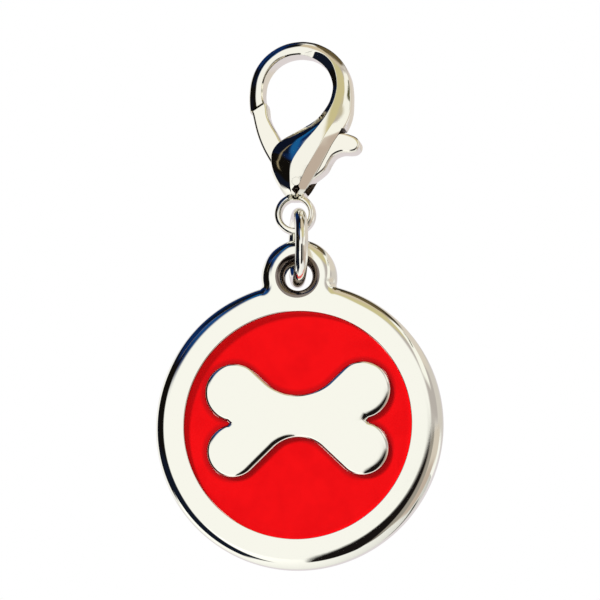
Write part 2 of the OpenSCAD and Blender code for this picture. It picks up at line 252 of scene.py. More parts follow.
def finish_piece(thing, body, slot, material, *nodes, inside=None):
    """Gives a piece its finish and its body, and hides the solids that it stands for; its slot is not used.
    Faces with the number 1 take the second finish, if there is one."""
    for finish in (material, inside) if inside else (material,):
        thing.data.materials.append(finish)
    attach(thing, body)
    if nodes:
        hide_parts(*nodes)


# Materials


def add_node(nodes, kind, values=None, **settings):
    """A new node. Its settings come before the values of its inputs."""
    node = nodes.new(kind)
    for name, setting in settings.items():
        setattr(node, name, setting)
    for name, value in (values or {}).items():
        node.inputs[name].default_value = value
    return node


def new_material(name):
    """A material with nodes, its parts and its shader."""
    material = bpy.data.materials.new(name)
    material.use_nodes = True
    nodes = material.node_tree.nodes
    return material, nodes, material.node_tree.links, nodes["Principled BSDF"]


def plated(name, colour, rough_low, rough_high, wave, scratch):
    """Polished plate: a slow wave of the casting, fine wipe marks and a change of gloss from place to place."""
    material, nodes, links, shader = new_material(name)
    shader.inputs["Base Color"].default_value = (*colour, 1)
    shader.inputs["Metallic"].default_value = 1
    place = add_node(nodes, "ShaderNodeTexCoord")
    slow = add_node(nodes, "ShaderNodeTexNoise", {"Scale": 260, "Detail": 2})
    fine = add_node(nodes, "ShaderNodeTexNoise", {"Scale": 2600, "Detail": 5})
    gloss = add_node(nodes, "ShaderNodeMapRange", {
        "From Min": 0.35, "From Max": 0.7, "To Min": rough_low, "To Max": rough_high})
    wavy = add_node(nodes, "ShaderNodeBump", {"Strength": wave, "Distance": 0.0002})
    marks = add_node(nodes, "ShaderNodeBump", {"Strength": scratch, "Distance": 0.00002})
    for texture in (slow, fine):
        links.new(place.outputs["Object"], texture.inputs["Vector"])
    links.new(fine.outputs["Fac"], gloss.inputs["Value"])
    links.new(gloss.outputs["Result"], shader.inputs["Roughness"])
    links.new(slow.outputs["Fac"], wavy.inputs["Height"])
    links.new(fine.outputs["Fac"], marks.inputs["Height"])
    links.new(wavy.outputs["Normal"], marks.inputs["Normal"])
    links.new(marks.outputs["Normal"], shader.inputs["Normal"])
    return material


def enamel(name, colour, deep, painted_shade_colour):
    """Soft enamel: resin with a faint cloud and a slightly rippled gloss, and a painted shade that darkens it
    beside a wall.
    """
    material, nodes, links, shader = new_material(name)
    shader.inputs["Roughness"].default_value = 0.32
    shader.inputs["Specular IOR Level"].default_value = 0.07
    place = add_node(nodes, "ShaderNodeTexCoord")
    cloud = add_node(nodes, "ShaderNodeTexNoise", {"Scale": 420, "Detail": 4})
    spread = add_node(nodes, "ShaderNodeMapRange", {"From Min": 0.4, "From Max": 0.75})
    tone = add_node(nodes, "ShaderNodeMix", data_type="RGBA")
    tone.inputs["A"].default_value = (*colour, 1)
    tone.inputs["B"].default_value = (*deep, 1)
    # The mesh's attribute mixes in the painted shade colour beside the bone
    painted_shade_amount = add_node(nodes, "ShaderNodeAttribute", attribute_name="painted_shade_by_bone")
    painted_shade_mix = add_node(nodes, "ShaderNodeMix", data_type="RGBA")
    painted_shade_mix.inputs["B"].default_value = (*painted_shade_colour, 1)
    bump = add_node(nodes, "ShaderNodeBump", {"Strength": 0.12, "Distance": 0.0001})
    links.new(place.outputs["Object"], cloud.inputs["Vector"])
    links.new(cloud.outputs["Fac"], spread.inputs["Value"])
    links.new(spread.outputs["Result"], tone.inputs["Factor"])
    links.new(painted_shade_amount.outputs["Fac"], painted_shade_mix.inputs["Factor"])
    links.new(tone.outputs["Result"], painted_shade_mix.inputs["A"])
    links.new(painted_shade_mix.outputs["Result"], shader.inputs["Base Color"])
    links.new(cloud.outputs["Fac"], bump.inputs["Height"])
    links.new(bump.outputs["Normal"], shader.inputs["Normal"])
    return material


tag_plate = plated("polished tag plate", (0.93, 0.925, 0.83), 0.03, 0.06, 0.014, 0.03)
clasp_plate = plated("polished clasp plate", (0.91, 0.89, 0.79), 0.03, 0.08, 0.05, 0.06)
lever_plate = plated("polished lever plate", (0.92, 0.895, 0.79), 0.04, 0.09, 0.05, 0.06)
ring_plate = plated("polished ring wire", (0.92, 0.91, 0.83), 0.03, 0.08, 0.04, 0.06)
pin_plate = plated("ground pin end", (0.90, 0.88, 0.78), 0.06, 0.12, 0.03, 0.08)
# Painted shade: a dark plate that stands for the shade inside the slot and in the nick
slot_and_nick_painted_shade = plated("painted shade inside the slot and the nick", (0.10, 0.075, 0.06), 0.35, 0.55, 0.1, 0.2)
# Painted shade: a dark plate that stands for the shade in the eye's hole
eye_hole_painted_shade = plated("painted shade in the eye's hole", (0.24, 0.20, 0.175), 0.08, 0.16, 0.05, 0.08)
spring_plate = plated("rolled spring strip", (0.4, 0.4, 0.4), 0.2, 0.35, 0.02, 0.2)
# The enamel's third colour is a painted shade, which darkens it beside the bone
red_enamel = enamel("red soft enamel", (0.85, 0.003, 0.005), (0.77, 0.002, 0.004), (0.45, 0.003, 0.005))


# The tag: one casting with its rim, eye and bone


# The fillet between the disc and the eye, which the solid leaves out
EYE_FILLET = 0.45

# Where the recess's floor lies, and how round its upper edge is
FLOOR_Y = FIELD_DEPTH - TAG_HALF
FIELD_LIP = 0.09

# How much further in than a plain round the rim's edge and the bone's edge meet the flat
RIM_EASE = 0.22
BONE_EASE = 1.4


def tag_row(mesh, points, y):
    """Vertices from plan points round the tag's middle."""
    return add_row(mesh, level(points + np.array([TAG_X, TAG_Z]), y))


def tag_outline(depth):
    """Outline of the disc and its eye with a fillet between them, moved inwards by a depth."""
    far = TAG_R + EYE_FILLET
    near = EYE_R + EYE_FILLET
    up = (far**2 - near**2 + EYE_UP**2) / (2 * EYE_UP)
    side = math.sqrt(far**2 - up**2)
    on_disc = math.degrees(math.atan2(up, side))
    on_eye = math.degrees(math.atan2(up - EYE_UP, side))
    disc = circle_points(0, 0, TAG_R - depth, 180 - on_disc, 360 + on_disc, count=240)
    right = circle_points(side, up, EYE_FILLET + depth, 180 + on_disc, 180 + on_eye, count=12)
    eye = circle_points(0, EYE_UP, EYE_R - depth, on_eye, 180 - on_eye, count=80)
    left = circle_points(-side, up, EYE_FILLET + depth, -on_eye, -on_disc, count=12)
    return np.concatenate([disc[:-1], right[:-1], eye[:-1], left[:-1]])


def eased(angle, ease):
    """How far in a rounded edge has come at an angle, from 0 at its wall; it meets the flat gently."""
    across = 1 - math.cos(angle)
    return across * (1 + ease * across**3)


def make_tag():
    """The tag's casting: its outer edges, the eye's hole and the recess for the enamel."""
    mesh = bmesh.new()
    rows = [(BACK_EDGE + WIDE_LAP, TAG_HALF)]
    for a in quarter_turn(count=7):
        rows.append((BACK_EDGE * (1 - math.sin(a)), TAG_HALF - BACK_EDGE * (1 - math.cos(a))))
    for a in quarter_turn(count=19):
        rows.append((RIM_EDGE * eased(a, RIM_EASE), RIM_EDGE - TAG_HALF - RIM_EDGE * math.sin(a)))
    rows.append((RIM_EDGE * (1 + RIM_EASE) + WIDE_LAP, -TAG_HALF))
    made = [tag_row(mesh, tag_outline(depth), y) for depth, y in rows]
    skin(mesh, made)

    half = [(EYE_HOLE_R + EYE_HOLE_EDGE + LAP, TAG_HALF)]
    for a in quarter_turn(count=11):
        half.append((
            EYE_HOLE_R + EYE_HOLE_EDGE * (1 - math.sin(a)), TAG_HALF - EYE_HOLE_EDGE * (1 - math.cos(a))))
    hole = [tag_row(mesh, round_points(0, EYE_UP, radius, EYE_POINTS), y) for radius, y in mirrored(half)]
    skin(mesh, hole)
    # The hole's rounded edges and wall take the second finish, a painted shade
    for row in hole[1:-1]:
        for vert in row:
            for face in vert.link_faces:
                face.material_index = 1

    profile = [(FIELD_R + FIELD_LIP + LAP, -TAG_HALF)]
    for a in quarter_turn(count=6):
        profile.append((FIELD_R + FIELD_LIP * (1 - math.sin(a)), FIELD_LIP * (1 - math.cos(a)) - TAG_HALF))
    profile += [(FIELD_R, FLOOR_Y), (FIELD_R - WIDE_LAP, FLOOR_Y)]
    field = [tag_row(mesh, round_points(0, 0, radius, FIELD_POINTS), y) for radius, y in profile]
    skin(mesh, field)

    fill_flat(mesh, made[0], hole[0])
    fill_flat(mesh, made[-1], hole[-1], field[0])
    fill_flat(mesh, field[-1])
    return to_object(mesh, "tag_casting", sharp_angle=50)


# The bone's right knobs: their middle and radius
BONE_TOP = (6.95, 3.05, 3.1)
BONE_LOW = (7.0, -3.3, 2.85)
# Above and below the bone's shank: its half height and the radius of the hollow
SHANK_TOP = (2.65, 5.1)
SHANK_LOW = (1.95, 3.7)
# The upright line between two knobs, its least half height, and how far the notch's tip goes in for its height
NOTCH_X = 7.65
NOTCH_LEAST = 0.004
NOTCH_TIP = 0.5


def notch_heights(ra, rb, line):
    """Where the two knobs of one end meet the short upright line between them."""
    (xa, za, _), (xb, zb, _) = BONE_TOP, BONE_LOW
    top = za - math.sqrt(ra**2 - (line - xa) ** 2)
    low = zb + math.sqrt(rb**2 - (line - xb) ** 2)
    if top - low > 2 * NOTCH_LEAST:
        return line, top, line, low
    gap = np.array([xb - xa, zb - za])
    far = np.linalg.norm(gap)
    along = (ra**2 - rb**2 + far**2) / (2 * far)
    unit = gap / far
    x, z = np.array([xa, za]) + along * unit + math.sqrt(ra**2 - along**2) * np.array([-unit[1], unit[0]])
    return x, z + NOTCH_LEAST, x, z - NOTCH_LEAST


def bone_outline(depth):
    """Outline of the bone moved inwards by a depth, counterclockwise from the right notch."""
    quarters = []
    xt, zt, xl, zl = notch_heights(BONE_TOP[2] - depth, BONE_LOW[2] - depth, NOTCH_X - depth)
    for (x, z, knob_r), (shank, hollow_r), notch_x, notch_z in (
        (BONE_TOP, SHANK_TOP, xt, zt), ((BONE_LOW[0], -BONE_LOW[1], BONE_LOW[2]), SHANK_LOW, xl, -zl),
    ):
        way = np.array([0, shank + hollow_r]) - np.array([x, z])
        lean = math.degrees(math.atan2(way[1], way[0]))
        touch = lean - math.degrees(math.acos((knob_r + hollow_r) / np.linalg.norm(way)))
        start = math.degrees(math.atan2(notch_z - z, notch_x - x))
        knob = circle_points(x, z, knob_r - depth, start, touch, count=44)
        dip = circle_points(0, shank + hollow_r, hollow_r + depth, touch - 180, -90, count=20)
        quarters.append(np.concatenate([knob, dip[1:]]))
    top, low = quarters
    tip = np.array([[xt - NOTCH_TIP * (zt - zl), (zt + zl) / 2]])
    outline = np.concatenate([
        top, (top * np.array([-1, 1]))[::-1][1:], tip * np.array([-1, 1]),
        low * -1, (low * np.array([1, -1]))[::-1][1:], tip])
    return outline + np.array([0, BONE_UP])


def make_bone():
    """The raised bone, with a wide soft edge and a wall down into the enamel."""
    mesh = bmesh.new()
    edge_in, edge_down = 0.42, 0.3
    rows = [(0, FLOOR_Y), (0, edge_down - TAG_HALF)]
    for a in quarter_turn(count=13)[1:]:
        rows.append((edge_in * eased(a, BONE_EASE), edge_down * (1 - math.sin(a)) - TAG_HALF))
    rows.append((edge_in * (1 + BONE_EASE) + LAP, -TAG_HALF))
    made = [tag_row(mesh, bone_outline(depth), y) for depth, y in rows]
    skin(mesh, made)
    fill_flat(mesh, made[0])
    fill_flat(mesh, made[-1])
    return to_object(mesh, "raised_bone", sharp_angle=40)


# The enamel beside a wall: the reach from it, how high the enamel climbs there, and how much painted shade
# darkens it beside the bone
ENAMEL_EDGE = (
    (0, 0.1, 1), (0.05, 0.06, 1), (0.12, 0.03, 0.95), (0.25, 0.01, 0.8), (0.45, 0, 0.35), (0.62, 0, 0))
# The share of that reach at the tag's rim, and the gaps at the walls and over the recess's floor
RIM_REACH = 0.9
WALL_GAP = 0.03
FLOOR_GAP = 0.01


def make_enamel():
    """The enamel: a level field that climbs a little at the rim and at the bone."""
    mesh = bmesh.new()
    outer, inner = [], []
    painted_shade_by_bone = mesh.verts.layers.float.new("painted_shade_by_bone")
    for reach, climb, tone in ENAMEL_EDGE:
        ring = round_points(0, 0, FIELD_R - WALL_GAP - reach * RIM_REACH, FIELD_POINTS)
        outer.append(tag_row(mesh, ring, ENAMEL_Y - climb))
        inner.append(tag_row(mesh, bone_outline(-WALL_GAP - reach), ENAMEL_Y - climb))
        # The vertices beside the bone carry how much painted shade darkens the enamel there
        for vert in inner[-1]:
            vert[painted_shade_by_bone] = tone
    low_y = FLOOR_Y - FLOOR_GAP
    low_outer = tag_row(mesh, round_points(0, 0, FIELD_R - WALL_GAP, FIELD_POINTS), low_y)
    low_inner = tag_row(mesh, bone_outline(-WALL_GAP), low_y)
    skin(mesh, outer)
    skin(mesh, inner)
    bridge(mesh, low_outer, outer[0])
    bridge(mesh, low_inner, inner[0])
    fill_flat(mesh, outer[-1], inner[-1])
    fill_flat(mesh, low_outer, low_inner)
    return to_object(mesh, "red_enamel_field", sharp_angle=40)


tag_casting = make_tag()
finish_piece(tag_casting, "tag", "tag_plate", tag_plate, "tag_body", inside=eye_hole_painted_shade)
raised_bone = make_bone()
finish_piece(raised_bone, "tag", "tag_plate", tag_plate, "tag_body")
enamel_field = make_enamel()
finish_piece(enamel_field, "tag", "red_enamel", red_enamel, "enamel_fill")


# The jump ring: a bent wire, made by Geometry Nodes


def make_jump_ring():
    """Sweeps the wire along an arc, and turns the ring to where it hangs, as a plain mesh."""
    tree = bpy.data.node_groups.new("bent wire ring", "GeometryNodeTree")
    tree.interface.new_socket("Geometry", in_out="OUTPUT", socket_type="NodeSocketGeometry")
    sizes = {"Ring Radius": RING_R, "Wire Radius": WIRE_R, "Sweep": 360 - math.degrees(WIRE_CUT / RING_R)}
    sockets = {}
    for name in sizes:
        sockets[name] = tree.interface.new_socket(name, in_out="INPUT", socket_type="NodeSocketFloat")
    nodes, links = tree.nodes, tree.links
    given = add_node(nodes, "NodeGroupInput")
    result = add_node(nodes, "NodeGroupOutput")
    path = add_node(nodes, "GeometryNodeCurveArc", {
        "Resolution": ARC_POINTS, "Start Angle": math.radians(sizes["Sweep"] - 360) / -2})
    wire = add_node(nodes, "GeometryNodeCurvePrimitiveCircle", {"Resolution": WIRE_POINTS})
    sweep = add_node(nodes, "GeometryNodeCurveToMesh", {"Fill Caps": True})
    turn = add_node(nodes, "ShaderNodeMath", operation="RADIANS")
    realize = add_node(nodes, "GeometryNodeRealizeInstances")
    dress = add_node(nodes, "GeometryNodeSetMaterial", {"Material": ring_plate})
    links.new(given.outputs["Ring Radius"], path.inputs["Radius"])
    links.new(given.outputs["Wire Radius"], wire.inputs["Radius"])
    links.new(given.outputs["Sweep"], turn.inputs[0])
    links.new(turn.outputs[0], path.inputs["Sweep Angle"])
    links.new(path.outputs["Curve"], sweep.inputs["Curve"])
    links.new(wire.outputs["Curve"], sweep.inputs["Profile Curve"])
    links.new(sweep.outputs["Mesh"], realize.inputs["Geometry"])
    links.new(realize.outputs["Geometry"], dress.inputs["Geometry"])
    links.new(dress.outputs["Geometry"], result.inputs["Geometry"])
    thing = add_object("bent_wire_ring", bpy.data.meshes.new("bent_wire_ring"))
    modifier = thing.modifiers.new("bent wire ring", "NODES")
    modifier.node_group = tree
    for name, size in sizes.items():
        modifier[sockets[name].identifier] = float(size)
    settle(thing)
    turned = math.radians(90 + RING_YAW)
    mesh = bmesh.new()
    mesh.from_mesh(thing.data)
    old = thing.data
    bpy.data.objects.remove(thing)
    bpy.data.meshes.remove(old)
    for vert in mesh.verts:
        x, z = vert.co.x, vert.co.y
        depth = -vert.co.z
        vert.co = Vector((
            RING_X + x * math.cos(turned) - depth * math.sin(turned),
            x * math.sin(turned) + depth * math.cos(turned),
            RING_Z + z)) * MM
    return to_object(mesh, "bent_wire_ring", sharp_angle=60)


jump_ring = make_jump_ring()
finish_piece(jump_ring, "ring", "ring_plate", ring_plate, "jump_ring")


# The clasp's body: sections swept from the nose over the crown and down to the neck


# Round the crown: angle, the ridge's start and end across the limb, the inner bevel's fall beside the outer
# one's, the thickness, which goes from the hook's at 0 over the body's at 1 to the eye's at 2, how far the
# ridge leans outwards, and how soft its outer edge is
CROWN = (
    (180, 0.47, 0.90, 0.31, 0, 0, 0.12), (165, 0.46, 0.90, 0.31, 0, 0, 0.12),
    (150, 0.44, 0.90, 0.31, 0.01, 0, 0.14), (135, 0.42, 0.90, 0.31, 0.02, 0, 0.16),
    (120, 0.39, 0.90, 0.31, 0.04, 0, 0.22), (105, 0.34, 0.90, 0.31, 0.06, 0.04, 0.32),
    (90, 0.29, 0.90, 0.31, 0.08, 0.08, 0.42), (78, 0.28, 0.84, 0.30, 0.09, 0.12, 0.46),
    (68, 0.28, 0.57, 0.74, 0.11, 0.14, 0.48), (55, 0.28, 0.48, 0.92, 0.12, 0.17, 0.40),
    (42, 0.29, 0.51, 0.90, 0.13, 0.19, 0.36), (30, 0.30, 0.60, 0.76, 0.14, 0.20, 0.32),
    (15, 0.32, 0.70, 0.60, 0.15, 0.20, 0.28), (0, 0.35, 0.77, 0.47, 0.15, 0.20, 0.24),
)
# Down the right limb and the body: outer and inner point, then the same shape numbers
BODY = (
    (5.80, -5.20, 3.46, -5.10, 0.40, 0.80, 0.44, 0.23, 0.20, 0.18),
    (5.72, -6.30, 2.90, -6.10, 0.44, 0.80, 0.52, 0.35, 0.19, 0.14),
    (5.48, -7.20, 2.16, -6.98, 0.43, 0.765, 0.72, 0.48, 0.16, 0.10),
    (5.07, -8.05, 1.26, -7.62, 0.375, 0.69, 0.92, 0.60, 0.10, 0.08),
    (4.46, -8.90, 0.30, -8.10, 0.30, 0.60, 1.00, 0.72, 0.04, 0.06),
    (3.82, -9.75, -0.74, -8.58, 0.23, 0.535, 1.00, 0.83, 0, 0.05),
    (3.41, -10.45, -1.72, -9.08, 0.195, 0.50, 1.00, 0.91, 0, 0.05),
    (3.05, -11.12, -2.50, -9.68, 0.184, 0.487, 1.00, 0.95, 0, 0.05),
    (2.68, -11.80, -3.00, -10.44, 0.185, 0.50, 1.00, 0.98, 0, 0.05),
    (2.34, -12.45, -3.16, -11.38, 0.20, 0.53, 1.00, 1.00, 0, 0.05),
    (1.95, -13.10, -3.02, -12.38, 0.22, 0.54, 1.00, 1.01, 0, 0.05),
    (1.57, -13.75, -2.68, -13.32, 0.243, 0.55, 1.00, 1.02, 0, 0.05),
    (1.20, -14.40, -2.24, -14.18, 0.274, 0.573, 1.00, 1.06, 0, 0.08),
    (0.84, -14.98, -1.78, -14.92, 0.31, 0.60, 1.00, 1.21, 0, 0.12),
    (0.52, -15.45, -1.42, -15.44, 0.33, 0.63, 0.95, 1.56, 0, 0.2),
    (0.36, -15.80, -1.26, -15.80, 0.35, 0.66, 0.90, 2.04, 0, 0.2),
)
# The nose: two more pairs of outer and inner point before the crown, and how its end is chamfered
NOSE = ((-5.30, -6.18, -3.70, -5.16), (-5.40, -5.10, -3.83, -4.55))
NOSE_BACK = 0.07
NOSE_SHARE = 0.9
# Half the hook's thickness, and how far the outer bevel falls on the hook and on the body
HOOK_HALF = 1.65
HOOK_FALL = 0.63
BODY_FALL = 0.87
# How round a section's corners are: the outer bevel's at least, the ridge's inner one and those of the rim
OUTER_ROUND, INNER_RIDGE_ROUND, INNER_ROUND = 0.24, 0.05, 0.1
# A corner is rounded over this share of its shorter side at most
CORNER_SHARE = 0.45
# How far the ridge swells, how much of the flank's fall is bowed, and in how many steps it falls
RIDGE_SWELL = 0.025
FLANK_BOW = 0.6
FLANK_STEPS = 8
# The rim along the inner edge: its width where it is grown, its least width and how steep it falls
RIM_WIDTH, RIM_LEAST, RIM_STEEP = 0.28, 0.02, 1.7
# At which thickness numbers the flank's bow grows and fades, and the rim grows and fades: start and span
BOW_GROWS, BOW_FADES = (0.42, 0.3), (0.9, 0.12)
RIM_GROWS, RIM_FADES = (0.66, 0.25), (2, 0.8)
# Middle and radius of the hook's outer line and of its hole
HOOK_X, HOOK_Z, HOOK_R = 0.2, -4.05, 5.6
HOLE_X, HOLE_Z, HOLE_R = -0.05, -3.8, 3.8


def clasp_sections():
    """Rows of: outer point, inner point, then the shape numbers."""
    rows = [(*points, *CROWN[0][1:]) for points in NOSE]
    for angle, *shape in CROWN:
        a = math.radians(angle)
        rows.append((
            HOOK_X + HOOK_R * math.cos(a), HOOK_Z + HOOK_R * math.sin(a),
            HOLE_X + HOLE_R * math.cos(a), HOLE_Z + HOLE_R * math.sin(a), *shape))
    return rows + list(BODY)


def half_thick(mix):
    """Half the thickness for a thickness number."""
    if mix < 1:
        return HOOK_HALF + mix * (CHEEK_HALF - HOOK_HALF)
    return CHEEK_HALF + (mix - 1) * (LOOP_HALF - CHEEK_HALF)


def bevel_fall(mix):
    """How far the outer bevel falls for a thickness number."""
    if mix < 1:
        return HOOK_FALL + mix * (BODY_FALL - HOOK_FALL)
    return BODY_FALL * half_thick(mix) / CHEEK_HALF


def rise(t):
    """A smooth step from 0 to 1."""
    t = min(max(t, 0), 1)
    return t * t * (3 - 2 * t)


def soft_corner(before, corner, after, radius, count=4):
    """A corner of a section rounded off, as a row of points."""
    a = before - corner
    b = after - corner
    la, lb = np.linalg.norm(a), np.linalg.norm(b)
    reach = min(radius, la * CORNER_SHARE, lb * CORNER_SHARE)
    start = corner + a / la * reach
    end = corner + b / lb * reach
    t = np.linspace(0, 1, count + 1)[:, None]
    return (1 - t) ** 2 * start + 2 * t * (1 - t) * corner + t**2 * end


def section_line(width, start, end, inner_fall, mix, lean, soft):
    """Half of a section as distances from its outer side and heights: the outer bevel, the swelling ridge,
    the inner flank, which bows where the limb becomes the body, and a narrow rim along its edge."""
    high, fall = half_thick(mix), bevel_fall(mix)
    grown = rise((mix - BOW_GROWS[0]) / BOW_GROWS[1])
    low_body = rise((mix - BOW_FADES[0]) / BOW_FADES[1])
    rim_grown = rise((mix - RIM_GROWS[0]) / RIM_GROWS[1]) * rise((RIM_FADES[0] - mix) / RIM_FADES[1])
    bow = FLANK_BOW * grown * (1 - low_body / 2)
    rim = RIM_LEAST + (RIM_WIDTH - RIM_LEAST) * rim_grown
    drop = inner_fall * fall
    ridge_end = end * width
    t = np.linspace(0, 1, FLANK_STEPS + 1)[1:]
    flank = np.stack([
        ridge_end + t * (width - rim - ridge_end), high - drop * (bow * t**2 + (1 - bow) * t)], 1)
    foot = np.array([width, high - drop - RIM_STEEP * rim])
    low_outer, ridge_start, ridge_far = (
        np.array(c) for c in ((0, high - fall), (start * width, high - lean), (ridge_end, high)))
    out = np.concatenate([
        [(0, 0)],
        soft_corner(np.zeros(2), low_outer, ridge_start, max(OUTER_ROUND, soft)),
        soft_corner(low_outer, ridge_start, ridge_far, soft),
        soft_corner(ridge_start, ridge_far, flank[0], INNER_RIDGE_ROUND),
        flank[:-1],
        soft_corner(flank[-2], flank[-1], foot, INNER_ROUND),
        soft_corner(flank[-1], foot, np.array([width, 0]), INNER_ROUND),
        [(width, 0)]])
    across = (out[:, 0] / width - start) / (end - start)
    swell = np.where((across > 0) & (across < 1), 1 - (2 * across - 1) ** 2, 0)
    out[:, 1] += RIDGE_SWELL * (swell - 1) * (out[:, 1] > 0)
    return out


def make_clasp_body():
    """Sweeps the sections from the nose to the neck."""
    rows = smooth_line(clasp_sections(), steps=5)
    mesh = bmesh.new()
    made = []
    for ox, oz, ix, iz, *shape in rows:
        outer, inner = np.array([ox, oz]), np.array([ix, iz])
        width = np.linalg.norm(inner - outer)
        half = section_line(width, *shape)
        plan = outer + half[:, :1] / width * (inner - outer)
        front = np.stack([plan[:, 0], -half[:, 1], plan[:, 1]], 1)
        back = (front * np.array([1, -1, 1]))[::-1][1:-1]
        made.append(np.concatenate([front, back]))
    # The nose ends in a small chamfer
    first = made[0]
    middle = first.mean(0)
    out_way = (first - made[3]).mean(0)
    out_way /= np.linalg.norm(out_way)
    made[0] = first - out_way * NOSE_BACK
    made.insert(0, middle + (first - middle) * NOSE_SHARE)
    lines = [add_row(mesh, row) for row in made]
    skin(mesh, lines)
    for row in (lines[0], lines[-1]):
        fill_flat(mesh, row)
    return to_object(mesh, "clasp_casting")


def make_loop():
    """The clasp's own eye at its lower end."""
    mesh = bmesh.new()
    edge = 0.45
    half = []
    for a in quarter_turn(count=8):
        half.append((LOOP_R - edge * (1 - math.cos(a)), -LOOP_HALF + edge * (1 - math.sin(a))))
    for a in quarter_turn(count=8)[::-1]:
        half.append((LOOP_HOLE_R + edge / 2 * (1 - math.cos(a)), -LOOP_HALF + edge * (1 - math.sin(a))))
    rows = round_rows(mesh, LOOP_X, LOOP_Z, mirrored(half), EYE_POINTS)
    skin(mesh, rows + rows[:1])
    return to_object(mesh, "clasp_loop", sharp_angle=50)


def upright_prism(points, half, name):
    """A straight prism over a plan outline, from -half to half along Y."""
    mesh = bmesh.new()
    low = add_row(mesh, level(np.asarray(points, float), -half))
    high = add_row(mesh, level(np.asarray(points, float), half))
    bridge(mesh, low, high)
    fill_flat(mesh, low)
    fill_flat(mesh, high)
    return to_object(mesh, name)


def pin_cutter(clearance, half):
    """A round prism that cuts a bore for the pin."""
    return upright_prism(round_points(PIN_X, PIN_Z, PIN_R + clearance, BORE_POINTS), half, "pin_bore")


def shares(points):
    """Plan points from shares of the clasp's width and drop."""
    return np.asarray(points, float) * np.array([CLASP_W, CLASP_DROP])


# Plan outlines of the slot in the body and of the lever
SLOT = shares([
    (-0.540, -0.3400), (-0.540, -0.6300), (-0.250, -0.6400), (-0.156, -0.7060), (-0.098, -0.7560),
    (-0.055, -0.7770), (0.700, -0.7770), (0.700, -0.4150), (0.372, -0.4200), (0.310, -0.4310),
    (0.268, -0.4700), (0.195, -0.5450), (0.150, -0.5900), (0.085, -0.5300), (0.062, -0.3400)])

LEVER = shares([
    (-0.442, -0.2650), (-0.415, -0.3350), (-0.388, -0.4100), (-0.352, -0.4800), (-0.300, -0.5500),
    (-0.225, -0.6270), (-0.140, -0.6990), (-0.086, -0.7430), (-0.025, -0.7600), (0.030, -0.7480),
    (0.085, -0.7220), (0.165, -0.6900), (0.243, -0.6500), (0.285, -0.6050), (0.325, -0.5720),
    (0.392, -0.5550), (0.465, -0.5560), (0.517, -0.5500), (0.550, -0.5280), (0.554, -0.4990),
    (0.525, -0.4730), (0.465, -0.4550), (0.392, -0.4430), (0.330, -0.4480), (0.290, -0.4800),
    (0.215, -0.5570), (0.142, -0.6280), (0.070, -0.6660), (0.005, -0.6620), (-0.055, -0.6150),
    (-0.110, -0.5380), (-0.186, -0.4450), (-0.238, -0.3900), (-0.274, -0.3380), (-0.304, -0.2550)])

# The line on which the gate meets the nose, and how far the cut keeps from it
SEAT_OUT = shares([(-0.4230, -0.3105)])[0]
SEAT_IN = shares([(-0.3250, -0.2720)])[0]
SEAT_GAP = 0.1

# The lever's rounded edge, and the pin's play in the lever and in the body
LEVER_EDGE = 0.3
LEVER_BORE_GAP = 0.05
BODY_BORE_GAP = 0.004


def make_lever():
    """The lever: gate, hub and thumb tab in one plate, cut on a slant where the gate meets the nose."""
    outline = smooth_line(LEVER, steps=7, closed=True)
    mesh = bmesh.new()
    half = [(LEVER_EDGE + LAP, -LEVER_HALF)]
    for a in quarter_turn(count=7)[::-1]:
        half.append((LEVER_EDGE * (1 - math.cos(a)), LEVER_EDGE * (1 - math.sin(a)) - LEVER_HALF))
    made = [add_row(mesh, level(inset(outline, depth), y)) for depth, y in mirrored(half)]
    skin(mesh, made)
    fill_flat(mesh, made[0])
    fill_flat(mesh, made[-1])
    lever = to_object(mesh, "gate_lever")
    way = (SEAT_IN - SEAT_OUT) / np.linalg.norm(SEAT_IN - SEAT_OUT)
    off = np.array([-way[1], way[0]])
    past, reach = 2, 3
    low = SEAT_OUT - off * SEAT_GAP - way * past
    high = SEAT_IN - off * SEAT_GAP + way * past
    nose_cut = upright_prism([low, high, high + off * reach, low + off * reach], reach, "nose_cut")
    combine(lever, nose_cut, "DIFFERENCE")
    combine(lever, pin_cutter(LEVER_BORE_GAP, reach), "DIFFERENCE")
    reshade(lever)
    return lever


def make_pin():
    """The pin, ground flush with both cheeks."""
    mesh = bmesh.new()
    shy, edge, middle_r = 0.02, 0.02, 0.02
    end = CHEEK_HALF - shy
    half = [(middle_r, -end), (PIN_R - edge, -end), (PIN_R, -end + edge)]
    rows = round_rows(mesh, PIN_X, PIN_Z, mirrored(half), PIN_POINTS)
    skin(mesh, rows)
    fill_flat(mesh, rows[0])
    fill_flat(mesh, rows[-1])
    return to_object(mesh, "flush_pin", sharp_angle=30)


def make_nick():
    """The cutter of the nick under the pin: a pyramid with its base before the cheek and its tip in the body."""
    mesh = bmesh.new()
    x, z = -0.12, -14.7
    before, deep = 0.02, 1.5
    base, depth = -CHEEK_HALF - before, -CHEEK_HALF + deep
    top, low, left, right, tip = (mesh.verts.new(Vector(p) * MM) for p in (
        (x + 0.1, base, z + 0.55), (x - 0.05, base, z - 1.3), (x - 0.6, base, z - 0.2),
        (x + 0.6, base, z - 0.15), (x - 0.05, depth, z)))
    for a, b in ((top, left), (left, low), (low, right), (right, top)):
        mesh.faces.new((a, b, tip))
    mesh.faces.new((top, right, low, left))
    return to_object(mesh, "pin_nick", sharp_angle=1)


clasp = make_clasp_body()
combine(clasp, make_loop(), "UNION")
# The slot's walls take the second finish, a painted shade
combine(clasp, upright_prism(SLOT, SLOT_HALF, "lever_slot"), "DIFFERENCE", finish=1)
combine(clasp, pin_cutter(BODY_BORE_GAP, half=4), "DIFFERENCE")
